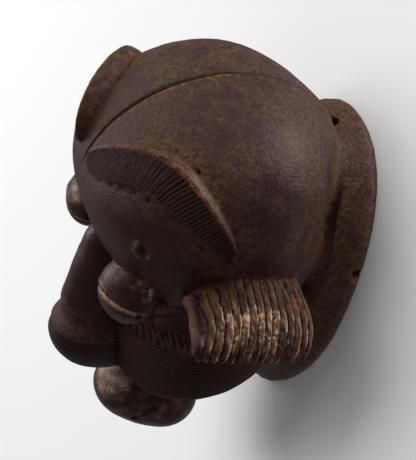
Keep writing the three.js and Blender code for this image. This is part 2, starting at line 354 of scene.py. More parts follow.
def skull_place(points):
    """Each point's direction from the skull's centre, with its turn aside and upwards in degrees."""
    offset = points - SKULL["centre"]
    far = length(offset)
    left = np.degrees(np.arctan2(np.abs(offset[:, 0]), offset[:, 2]))
    up = np.degrees(np.arcsin(np.clip(offset[:, 1] / far, -1, 1)))
    return offset / far[:, None], far, left, up


def brow_edges(along):
    """How far up the upper and the lower edge of a brow are, at shares of its length."""
    arch = np.maximum(0, np.sin(math.pi * along))
    upper = BROW.upper_inner + (BROW.upper_outer - BROW.upper_inner) * along
    lower = BROW.lower_inner + (BROW.lower_outer - BROW.lower_inner) * along
    upper = upper + BROW.upper_rise * arch ** BROW.upper_round
    return upper, lower + BROW.lower_rise * arch ** BROW.lower_round


def brow_place(points):
    """Each point's share along its side's brow and its share down from the upper edge."""
    _, _, left, up = skull_place(points)
    along = (left - BROW.inner) / (BROW.outer - BROW.inner)
    upper, lower = brow_edges(np.clip(along, 0, 1))
    return along, (upper - up) / np.maximum(upper - lower, 1)


def comb_travel(points):
    """Millimetres along the middle of the brow to the place nearest to each point."""
    radius = 47
    share = np.linspace(0, 1, 160)
    upper, lower = brow_edges(share)
    middle = 0.5 * (upper + lower)
    left = BROW.inner + (BROW.outer - BROW.inner) * share
    line = np.column_stack((left * np.cos(np.radians(middle)), middle)) * math.radians(1) * radius
    travel = np.concatenate(((0,), np.cumsum(length(np.diff(line, axis=0)))))
    _, _, left, up = skull_place(points)
    flat = np.column_stack((left * np.cos(np.radians(up)), up)) * math.radians(1) * radius
    found = np.empty(len(points))
    for start in range(0, len(points), 4000):
        part = flat[start : start + 4000]
        away = ((part[:, None, :] - line[None, :, :]) ** 2).sum(axis=2)
        nearest = np.clip(away.argmin(axis=1), 1, len(line) - 2)
        tangent = line[nearest + 1] - line[nearest - 1]
        tangent = tangent / length(tangent)[:, None]
        found[start : start + 4000] = travel[nearest] + ((part - line[nearest]) * tangent).sum(axis=1)
    return found


def ear_line(along, drop, corner):
    """Points and directions on the line that an ear follows from its root to its hanging edge."""
    near, far = 1 - along, along
    level = EAR.root_y - drop
    x = (EAR.root_x, EAR.shoulder_x, EAR.edge_x - corner, EAR.edge_x - corner)
    fall = EAR.root_y - EAR.shoulder_fall - drop * EAR.edge_drop
    y = (level, level + EAR.shoulder_rise, fall, EAR.edge_y + corner)
    shares = (near**3, 3 * far * near**2, 3 * far**2 * near, far**3)
    turns = (3 * near**2, 6 * near * far, 3 * far**2)
    at = [sum(share * value for share, value in zip(shares, row)) for row in (x, y)]
    way = [sum(turn * (row[i + 1] - row[i]) for i, turn in enumerate(turns)) for row in (x, y)]
    return at, way


def ear_place(points):
    """Each point's share down an ear, its height over the ear's middle and its share forwards."""
    x, y, z = np.abs(points[:, 0]), points[:, 1], points[:, 2]
    along = np.full(len(points), 0.5)
    count = 40
    steps = np.linspace(0, 1, count + 1)[None, :]
    for _ in range(2):
        place = (z + EAR.slant * (1 - along) - EAR.back) / (EAR.front - EAR.back)
        forward = 2 * np.clip(place, 0, 1) - 1
        drop = EAR.front_drop * np.maximum(0, forward) ** 3
        drop = drop + EAR.back_drop * np.minimum(0, forward) ** 2
        corner = EAR.corner * forward**8
        (line_x, line_y), _ = ear_line(steps, drop[:, None], corner[:, None])
        away = (line_x - x[:, None]) ** 2 + (line_y - y[:, None]) ** 2
        nearest = np.clip(away.argmin(axis=1), 1, count - 1)
        rows = np.arange(len(points))
        before, here, after = (away[rows, nearest + i] for i in (-1, 0, 1))
        bend = np.maximum(before - 2 * here + after, 1e-9)
        along = np.clip((nearest + 0.5 * (before - after) / bend) / count, 0, 1)
    (line_x, line_y), (way_x, way_y) = ear_line(along, drop, corner)
    size = np.hypot(way_x, way_y)
    outward = np.column_stack((-way_y / size, way_x / size))
    height = (x - line_x) * outward[:, 0] + (y - line_y) * outward[:, 1]
    down = ((x - line_x) * way_x + (y - line_y) * way_y) / size
    side = np.sign(points[:, 0])
    outward = np.column_stack((outward[:, 0] * side, outward[:, 1], np.zeros(len(points))))
    way = np.column_stack((way_x / size * side, way_y / size, np.zeros(len(points))))
    return along, height, place, down, outward, way


def collar_share(points):
    """How far out each point is, as a share of the collar's outline."""
    y = points[:, 1] - COLLAR.middle
    reach = np.where(y > 0, COLLAR.top, COLLAR.bottom)
    square = np.where(y > 0, COLLAR.top_square, COLLAR.bottom_square)
    return ((np.abs(points[:, 0]) / COLLAR.side) ** square + np.abs(y / reach) ** square) ** (1 / square)


def beard_turns(points):
    """How many grooves of the beard lie above each point."""
    row = points[:, 1].copy()
    for _ in range(5):
        up = ramp(JAW["centre"][1], SKULL["centre"][1], row)
        axis = JAW["centre"][2] + (SKULL["centre"][2] - JAW["centre"][2]) * up
        slope = BEARD.slope * ramp(CHIN, BEARD.bottom, row) * (1 - up)
        row = points[:, 1] + slope * (points[:, 2] - axis)
    return (BEARD.top - row) * BEARD.count / (BEARD.top - BEARD.bottom)


class Skin:
    """The mesh of the carving as arrays, in millimetres of the head's own frame."""

    def __init__(self, mesh):
        """Reads the points and the edges of a mesh."""
        self.mesh = mesh
        flat = np.zeros(len(mesh.vertices) * 3)
        mesh.vertices.foreach_get("co", flat)
        self.points = flat.reshape(-1, 3) / MM - (0, HEAD_DROP, 0)
        pairs = np.zeros(len(mesh.edges) * 2, np.int64)
        mesh.edges.foreach_get("vertices", pairs)
        self.starts = np.concatenate((pairs[::2], pairs[1::2]))
        self.ends = np.concatenate((pairs[1::2], pairs[::2]))

    def softened(self, points, chosen, rounds, share):
        """Points whose chosen ones move a share of the way to their neighbours' mean each round."""
        rank = np.cumsum(chosen) - 1
        count = int(chosen.sum())
        from_chosen = chosen[self.starts]
        at, other = rank[self.starts[from_chosen]], self.ends[from_chosen]
        degree = np.maximum(np.bincount(at, minlength=count), 1)
        points = points.copy()
        for column in list(points.T) * rounds:
            mean = np.bincount(at, column[other], count) / degree
            column[chosen] += share * (mean - column[chosen])
        return points

    def soften(self, chosen, rounds):
        """Smooths the chosen vertices for a number of rounds."""
        self.points[:] = self.softened(self.points, chosen, rounds, 0.5)

    def write(self):
        """Puts the points back into the mesh, held inside the plain solid's box."""
        placed = (self.points + (0, HEAD_DROP, 0)) * MM
        low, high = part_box(NODE)
        placed = np.clip(placed, np.array(low), np.array(high))
        self.mesh.vertices.foreach_set("co", placed.ravel())
        self.mesh.update()

    def normals(self):
        """The direction out of the surface at each point."""
        self.write()
        flat = np.zeros(len(self.points) * 3)
        self.mesh.vertex_normals.foreach_get("vector", flat)
        return flat.reshape(-1, 3)

    def cut(self, depth):
        """Sinks the surface by a depth in millimetres at each vertex."""
        self.points -= self.normals() * depth[:, None]

    def keep(self, name, values):
        """Stores values on the mesh, under a name that the material reads."""
        attribute = self.mesh.attributes.get(name)
        if attribute is None:
            attribute = self.mesh.attributes.new(name, "FLOAT", "POINT")
        attribute.data.foreach_set("value", np.asarray(values, np.float32))


def linear(colour):
    """An sRGB hex colour as linear numbers."""
    value = colour.lstrip("#")
    channels = [int(value[i : i + 2], 16) / 255 for i in (0, 2, 4)]
    return [c / 12.92 if c <= 0.04045 else ((c + 0.055) / 1.055) ** 2.4 for c in channels]


def applied(piece):
    """Makes a piece's modifiers part of its mesh."""
    graph = bpy.context.evaluated_depsgraph_get()
    made = bpy.data.meshes.new_from_object(piece.evaluated_get(graph))
    old = piece.data
    piece.modifiers.clear()
    piece.data = made
    bpy.data.meshes.remove(old)
    return made


def add_node(tree, kind, settings=None, links=None):
    """Adds a node, sets its values and sockets, and links its inputs."""
    node = tree.nodes.new(kind)
    for name, value in (settings or {}).items():
        if isinstance(name, int) or name in node.inputs:
            node.inputs[name].default_value = value
        else:
            setattr(node, name, value)
    for name, socket in (links or {}).items():
        tree.links.new(socket, node.inputs[name])
    return node


class CarvingSizes(bpy.types.PropertyGroup):
    """The sizes of the fine carving"""

    skin: FloatProperty(
        name="Skin", description="Mesh width of the carved surface", default=0.00055, unit="LENGTH"
    )
    crown_line: FloatProperty(
        name="Crown line", description="Depth of the line over the crown", default=0.001, unit="LENGTH"
    )
    comb_pitch: FloatProperty(
        name="Comb pitch", description="Distance of the brow's comb lines", default=0.0014, unit="LENGTH"
    )
    comb_depth: FloatProperty(
        name="Comb depth", description="Depth of the brow's comb lines", default=0.0005, unit="LENGTH"
    )
    ridge_depth: FloatProperty(
        name="Ear ridges", description="Depth of the cuts in the ears", default=0.0014, unit="LENGTH"
    )
    beard_depth: FloatProperty(
        name="Beard grooves", description="Depth of the beard grooves", default=0.0006, unit="LENGTH"
    )
    slit: FloatProperty(
        name="Eye slit", description="Depth of the slit of each eye", default=0.0011, unit="LENGTH"
    )


class PatinaColours(bpy.types.PropertyGroup):
    """The colours of the patina"""

    dark: StringProperty(name="Dark", description="Thick old patina", default="#220D0A")
    # Also painted light on the brow's bevel and on the ridges of the beard and the brows.
    warm: StringProperty(name="Warm", description="Thin patina that lets the wood through", default="#5A4230")
    # Near black, for dirt in the cuts and for painted shade in the cuts, the creases and under the nose.
    black_dirt_and_shade: StringProperty(name="Soot", description="Black dirt in the cuts", default="#0A0504")
    ochre: StringProperty(name="Ochre", description="Old dirt in the valleys", default="#6B4522")
    worn: StringProperty(name="Worn", description="Bare wood on worn edges", default="#B4602A")
    dust: StringProperty(name="Dust", description="Pale dust in the cuts", default="#D6B498")
    sheen: StringProperty(name="Sheen", description="Tint of the wax's highlights", default="#FFD9E0")


class StageLook(bpy.types.PropertyGroup):
    """The floor and the lights"""

    floor: StringProperty(name="Floor", description="Colour of the floor", default="#FAFAFA")
    key: FloatProperty(name="Overhead light", description="Power from above", default=27.0, unit="POWER")
    rim: FloatProperty(name="Back light", description="Power behind the crown", default=20.0, unit="POWER")
    side: FloatProperty(name="Side light", description="Power beside the nose", default=6.0, unit="POWER")
    sky: FloatProperty(name="Sky", description="Strength of the light all round", default=0.24)


def added(name, data):
    """A new object in the scene with its data."""
    thing = bpy.data.objects.new(name, data)
    bpy.context.scene.collection.objects.link(thing)
    return thing


@contextmanager
def edited(mesh):
    """A mesh opened for an edit."""
    made = bmesh.new()
    made.from_mesh(mesh)
    yield made
    made.to_mesh(mesh)
    made.free()


def merged_copy():
    """A copy of the plain solid with its loose triangles joined."""
    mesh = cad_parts[NODE].data.copy()
    with edited(mesh) as made:
        bmesh.ops.remove_doubles(made, verts=made.verts, dist=1e-6)
    mesh.materials.clear()
    return added("Carved_mask", mesh)


def remeshed(piece, width):
    """Gives the carving one skin of even squares."""
    modifier = piece.modifiers.new("Even skin", "REMESH")
    modifier.mode = "VOXEL"
    modifier.voxel_size = width
    return applied(piece)


def fine_zone(points):
    """Where the carving is too fine for the even skin: brows, ears, eyes, beard and crown line."""
    along, down = brow_place(points)
    height = head_field(points)
    x, y, z = folded(points).T
    brows = (along > -0.02) & (along < 1.02) & (down > -0.02) & (down < 1.1) & (height > 0.2) & (height < 12)
    ears = (x > 42) & (y > 4) & (height > 0.2)
    eyes = (np.abs(in_eye_frame(points)[:, 1]) < 6) & (np.abs(eye_field(points)) < 1.2) & (height > 0)
    turns = beard_turns(points)
    beard = (turns > -0.4) & (turns < BEARD.count + 0.4) & (np.abs(height) < 1.2) & (z > 16)
    return brows | ears | eyes | beard | (x < 3) & (y > 24) & (np.abs(height) < 1.2)


def refined(mesh):
    """Halves the mesh width in the fine zone."""
    fine = fine_zone(Skin(mesh).points)
    with edited(mesh) as made:
        edges = [e for e in made.edges if fine[e.verts[0].index] and fine[e.verts[1].index]]
        bmesh.ops.subdivide_edges(made, edges=edges, cuts=1, use_grid_fill=True)


def radial_reach(directions):
    """How far the head's surface is from the skull's centre along directions."""
    near = np.full(len(directions), 20.0)
    far = np.full(len(directions), 70.0)
    centre = np.array(SKULL["centre"], float)
    for _ in range(16):
        middle = 0.5 * (near + far)
        inside = head_field(centre + directions * middle[:, None]) < 0
        near = np.where(inside, middle, near)
        far = np.where(inside, far, middle)
    return near


def everywhere(marks, chosen, count):
    """Marks of the chosen places as marks of all places, 0 at the others."""
    full = {name: np.zeros(count) for name in marks}
    for name, values in marks.items():
        full[name][chosen] = values
    return full


def numbered(turn, size, seed):
    """Noise that is the same all over each numbered line or ridge."""
    return noise_at(np.column_stack((turn, 0 * turn, 0 * turn)), size, seed)


def shape_brows(skin, sizes):
    """Gives the brows their bevel, worn edge and comb lines, and tells where these are."""
    points = skin.points
    along, down = brow_place(points)
    height = head_field(points)
    on_brow = (along > -0.01) & (along < 1.01) & (down > 0) & (down < 1)
    chosen = np.flatnonzero(on_brow & (height > 0.35) & (height < 12))
    part, along, down = points[chosen], along[chosen], down[chosen]
    direction, far, _, _ = skull_place(part)
    share = np.clip(along, 0, 1)
    swell = np.maximum(0, np.sin(math.pi * share ** BROW.ledge_forward)) ** BROW.ledge_round
    ledge = BROW.ledge * (BROW.ledge_end + (1 - BROW.ledge_end) * swell)
    place = down + 0.012 * noise_at(part, 2.2, 4.0) + 0.008 * noise_at(part, 6, 8.0)
    stops = (0, BROW.edge, BROW.worn, 1)
    profile = ledge * np.interp(place, stops, (BROW.foot, 1, BROW.worn_height, 0))
    profile += BROW.lower_height * ramp(BROW.worn, 1, place)

    wobble = 0.22 * noise_at(part, 5, 5.0) + 0.1 * noise_at(part, 1.8, 6.0)
    turn = (comb_travel(part) + wobble) / (sizes.comb_pitch / MM)
    strength = COMB.faint + (1 - COMB.faint) * ramp(*COMB.grows, share)
    strength = strength * (0.75 + 0.85 * numbered(np.round(turn), 1.7, 2.0))
    ragged = place + 0.03 * noise_at(part, 1.5, 7.0)
    face = ramp(*COMB.starts, place) * (1 - ramp(*COMB.stops, ragged))
    face = face * between(0.03, 0.97, 0.02, along)
    comb = np.abs(np.cos(math.pi * turn)) ** COMB.sharp * face * strength
    lip = hump(place, 0.95, 0.055) * ramp(0.38, 0.55, share)
    target = profile - comb * sizes.comb_depth / MM + COMB.lip * lip
    ends = between(0, 1, 0.015, along) * between(0.02, 0.975, 0.015, down)
    moved = np.clip(radial_reach(direction) + target - far, -2.2, 1.2) * ends
    skin.points[chosen] += direction * moved[:, None]
    marks = {
        "comb": comb * ends,
        "bevel": ramp(0.16, 0.1, place) * ends,
        "brow_face": face * ends,
        "brow_lip": lip * ends,
        "brow_edge": hump(place, 0.17, 0.06) * between(0.1, 0.97, 0.05, along) * ends,
        "brow_share": share,
    }
    return everywhere(marks, chosen, len(points))


def ear_reach(along):
    """How far the front end of an ear lies before the plain solid's, from the root to the edge."""
    middle = ramp(0.05, 0.4, along) * ramp(1, 0.6, along)
    return EAR.forward_edge + (EAR.forward - EAR.forward_edge) * middle


def ahead_of_ear(along, place):
    """How far points lie before the front end of an ear, and less than zero behind it."""
    return (place - 1) * (EAR.front - EAR.back) - ear_reach(along)


def ear_front_field(points):
    """How far points lie outside the rounded front end of an ear."""
    along, height, place, down, _, _ = ear_place(points)
    half = EAR.thickness / 2
    ahead = ahead_of_ear(along, place) - EAR.end_lean * np.clip(height, -half, half)
    past = down - EAR.length * (1 - along) - EAR.end_hang * ramp(0.85, 0.95, place)
    beyond = np.column_stack((np.abs(height) - half, ahead, past)) + EAR.end_round
    return length(np.maximum(beyond, 0)) + np.minimum(beyond.max(axis=1), 0) - EAR.end_round


def shape_front(skin):
    """Draws the front end of each ear forward to a plain end, rounded like a thick leaf."""
    points = skin.points
    x, y, z = folded(points).T
    chosen = np.flatnonzero((x > 38) & (y > 1) & (y < 26) & (z > 50))
    along, height, place, _, _, _ = ear_place(points[chosen])
    free = ramp(0.8, 3, head_field(points[chosen])) * (np.abs(height) < 5)
    points[chosen, 2] += ear_reach(along) * ramp(0.78, 1, place) * free
    points[chosen] = settled(points[chosen], ear_front_field, 6, ramp(0.88, 0.95, place) * free)
    front = np.zeros(len(points), bool)
    front[chosen[(place > 0.9) & (free > 0.5)]] = True
    skin.soften(front, 6)


def shape_ears(skin, sizes):
    """Cuts the ridges of the ears, with notches along the hanging edge, and tells where these are."""
    points = skin.points
    near_ear = (np.abs(points[:, 0]) > 38) & (points[:, 1] > 2) & (points[:, 2] > 22)
    chosen = np.flatnonzero(near_ear & (head_field(points) > 0.1))
    found = ear_place(points[chosen])
    along, height, place = found[:3]
    on_ear = (np.abs(height) < 4.2) & (place > -0.06) & (place < 1.2) & (along > 0.05)
    chosen = chosen[on_ear]
    part = points[chosen]
    along, height, place, _, outward, way = (values[on_ear] for values in found)
    free = ramp(0.2, 1.4, head_field(part))

    drift = 0.012 * noise_at(part, 9, 3.0) + 0.008 * noise_at(part, 3, 5.0) + 0.004 * noise_at(part, 1.2, 7.0)
    turn = np.clip(place + drift, 0, 1) / EAR.ridge
    uneven = 1 + 0.4 * numbered(np.floor(turn + 0.5), 1.3, 2.0)
    share = turn - np.floor(turn)
    lobe = ramp(EAR.lobe - 0.005, EAR.lobe + 0.015, place + drift)
    off_back = ramp(0.01, 0.04, place)
    slat = 1 - ramp(0.02, 0.2, share) * ramp(0.99, 0.88, share)
    lean = 0.35 * ramp(0.2, 0.9, share) * (1 - slat)
    valley = np.clip(slat * uneven + lean, 0, 1.4) * (1 - lobe) * off_back
    valley = valley * (0.6 + 0.4 * ramp(0.15, 0.5, along))
    valley = np.maximum(valley, 0.8 * hump(place + drift, EAR.lobe, 0.012))
    outer = ramp(0.3, 1.5, height)
    swell = 0.5 * noise_at(part, 5, 9.0) + 0.4 * noise_at(part, 1.6, 2.0)
    round_end = 0.5 * ramp(0.97, 1, place) ** 2 + 1.2 * ramp(0.06, 0, place) ** 2
    target = EAR.thickness / 2 - valley * sizes.ridge_depth / MM + np.minimum(swell, 0) - round_end
    before_end = free * ramp(1.005, 0.985, place)
    shift = np.clip(target - height, -2, 1) * outer * before_end
    skin.points[chosen] += outward * shift[:, None]
    under = ramp(0.93, 1, along) * ramp(-3.2, -0.5, height) * before_end
    notch = (valley * 1.3 + 0.3 * uneven * (1 - lobe)) * under
    skin.points[chosen] -= way * notch[:, None]
    rim = ramp(-1.7, -0.7, ahead_of_ear(along, place)) * ramp(0.95, 0.5, along)
    marks = {
        "ear_valley": slat * (1 - lobe) * off_back * free,
        "ear_edge": hump(share, 0.24, 0.13) * (1 - lobe) * outer * free,
        "ear_lobe": lobe * outer * free,
        "ear_skin": outer * free,
        "ear_along": along * free,
        "ear_rim": rim * free,
    }
    return everywhere(marks, chosen, len(points))


def settle_forms(skin):
    """Moves the skin from the solid's facets onto the smooth forms, and softens their joints."""
    points = skin.points
    height = head_field(points)
    on_eye = (np.abs(eye_field(points)) < 1.6) & (height > -0.5)
    points = settled(points, eye_field, 1.6, on_eye)
    on_line = (np.abs(points[:, 0]) < 3) & (points[:, 1] > 15) & (height < 0.4)
    points = settled(points, head_field, 1.8, on_line)
    off_ear = (np.abs(points[:, 0]) < 41) | (height < 1)
    skin.points = points = settled(points, carving_field, 1.1, off_ear)
    skin.soften(points[:, 2] > 0.4, 3)
    x, y, z = folded(points).T
    share = collar_share(points)
    height = head_field(points)
    valley = (z > 6) & (z < 27) & (share < 0.955) & (height > -2.8) & (height < 9)
    valley &= (share > 0.6) | (height < 2.5)
    by_ear = (x > 36) & (z > 21) & (np.abs(y - 14) < 16)
    skin.soften(valley & ~by_ear, 320)
    nose_root = (x < 13) & (np.abs(y - 3) < 9) & (z > 66)
    skin.soften(nose_root & (np.abs(carving_field(points)) < 2.5) & (eye_field(points) > 0.6), 90)


def crown_cut(points, on_head):
    """Where the line over the crown is cut, and its worn lip."""
    wander = 0.4 * noise_at(points * (0, 1, 1), 14, 3.0) + 0.12 * noise_at(points, 3, 3.0)
    beside, y, z = (points - SKULL["centre"]).T
    beside = beside + wander
    turn = np.degrees(np.arctan2(y, z))
    ends = between(4, 152, 6, turn) * on_head * (head_field(points) < 1.2)
    line = hump(beside, 0, 0.55 + 0.55 * between(18, 88, 20, turn)) * ends
    return line, hump(beside, 1, 0.8) * ends * between(28, 84, 16, turn)


def eye_cuts(points, on_eye):
    """Where the slit of each eye is cut, and the lid that swells over it."""
    x, y, z = in_eye_frame(points).T
    bend = np.where(points[:, 0] > 0, 0.012, 0.05)
    over = y + 0.6 + bend * x**2 + 0.15 * noise_at(points, 3, 9.0)
    shown = on_eye * between(-9.3, 9.6, 0.5, x) * ramp(-7, -5, z)
    return ramp(1, 0.5, np.abs(over)) * shown, hump(over, 1.7, 1.3) * shown


def above_beard(points, on_head):
    """Where the cheek over the beard is hatched with knife strokes."""
    return on_head * between(-4.5, -0.2, 0.6, beard_turns(points)) * ramp(34, 40, points[:, 2])


def beard_cuts(points, on_head):
    """The zone of the beard, its grooves, and the short strokes above them."""
    turns = beard_turns(points) + 0.12 * noise_at(points, 12, 2.0) + 0.08 * noise_at(points, 3, 6.0)
    x, y, z = folded(points).T
    zone = on_head * ramp(BEARD.side, BEARD.side + BEARD.fade, z) * between(0, BEARD.count, 0.2, turns)
    groove = np.abs(np.sin(math.pi * turns)) ** 3 * zone * (0.8 + 0.3 * noise_at(points, 8, 4.0))
    slant = z * 0.86 - y * 0.4 + 0.7 * noise_at(points, 4, 12.0)
    hatch = np.abs(np.sin(math.pi * slant / BEARD.hatch)) ** 4
    hatch = hatch * ramp(-0.4, 0.1, noise_at(points, 3.5, 15.0)) * above_beard(points, on_head)
    return zone, groove, hatch * ramp(8, 12, x) * (z < 66)


def damage(points, ragged, on_head):
    """Where the wood is pitted, gouged or nicked along the brows, how dark it is with black dirt and painted
    shade, and how deep.
    """
    along, down = brow_place(ragged)
    far_side = points[:, 0] < 0
    first, full = np.where(far_side, 0, 0.12), np.where(far_side, 0.2, 0.35)
    dashes = ramp(first, full, noise_at(points, 3.2, 11.0)) * on_head
    foot = hump(down, -0.05, 0.06) * between(0.12, 0.98, 0.08, along) * dashes
    below = hump(down, 1.05, 0.07) * between(0.1, 0.85, 0.08, along) * dashes
    pits = [(spot(ragged, centre, radius), 1, deep) for centre, radius, deep in PITS]
    pits += [(stroke(points, gouge, 0.95), 0.7, 0.8) for gouge in GOUGES]
    pits += [(foot, 1, 0.7), (below, 0.8, 0.45)]
    # Painted shade with black dirt darkens each pit, gouge and nick.
    black_dirt_and_shade = np.max([there * dark for there, dark, _ in pits], axis=0)
    return black_dirt_and_shade, np.max([there * deep for there, _, deep in pits], axis=0)


def carve(skin, sizes):
    """Gives the smooth form its finer carving, and tells where each kind of cut is."""
    settle_forms(skin)
    marks = shape_brows(skin, sizes)
    shape_front(skin)
    marks.update(shape_ears(skin, sizes))
    points = skin.points
    height = head_field(points)
    on_head = (np.abs(height) < 1.4).astype(float)
    on_eye = (np.abs(eye_field(points)) < 1) & (height > 0.4)
    on_nose = (np.abs(nose_field(points)) < 1.2) & (height > 0.6) & (lips_field(points) > 0.8)
    ragged = points + 0.3 * noise_at(points, 1.2, 3.0)[:, None]

    line, line_lip = crown_cut(points, on_head)
    slit, lid = eye_cuts(points, on_eye)
    beard, groove, hatch = beard_cuts(points, on_head)
    pit, depth = damage(points, ragged, on_head)
    bar = stroke(folded(points), CHEEK_BAR, 4.6)
    below_bar = stroke(folded(points), BELOW_BAR, 2.6) * (1 - bar)
    # Millimetres over the edge where the nose's base steps back, which rises towards the tip.
    step = points[:, 1] + 36.2 + 0.17 * (points[:, 2] - 81)
    fold = on_nose * ramp(-5, -0.4, step) * ramp(0.3, -0.4, step)

    tool = 0.14 * noise_at(points, 7, 1.0) + 0.05 * noise_at(points, 2.4, 2.0)
    tool = tool * ramp(0.5, 2, points[:, 2]) * ramp(-2.5, -1, height)
    tool = tool * (1 - 0.7 * np.maximum(marks["ear_skin"], marks["brow_face"]))
    cuts = line * sizes.crown_line / MM + slit * sizes.slit / MM - 0.3 * lid
    cuts = cuts + (groove + 1.2 * hatch) * sizes.beard_depth / MM + depth
    cuts = cuts - 1.4 * bar + 1.2 * below_bar + 1.3 * stroke(points, MOUTH, 1.3)
    skin.cut(cuts + 0.5 * fold + tool)

    marks.update(line=line, line_lip=line_lip, slit=slit, beard=beard, pit=pit, bar=bar)
    by_eye = eye_field(points)
    marks.update(
        knot=hump(length(ragged - KNOT), 2.9, 0.7) * (points[:, 0] > 0),
        eye=((np.abs(by_eye) < 1) & (height > 0.4)).astype(float),
        eye_foot=ramp(3, 1, by_eye) * on_head,
        groove=np.maximum(groove, hatch),
        hatched=above_beard(points, on_head),
        mouth=stroke(points, MOUTH, 2.2),
        nose=on_nose.astype(float),
        nose_edge=on_nose * hump(step, 0.5, 0.9),
        nose_under=on_nose * ramp(0.2, -0.6, step),
        nose_band=on_nose * between(-0.2, 11, 0.8, step),
    )
    return SimpleNamespace(**marks)


def relief(skin):
    """How sunken each place is against its near and its wider surroundings, in millimetres."""
    normals = skin.normals()
    every = np.ones(len(skin.points), bool)
    near = skin.softened(skin.points, every, 6, 0.6)
    wide = skin.softened(near, every, 54, 0.6)
    return [((soft - skin.points) * normals).sum(axis=1) for soft in (near, wide)]


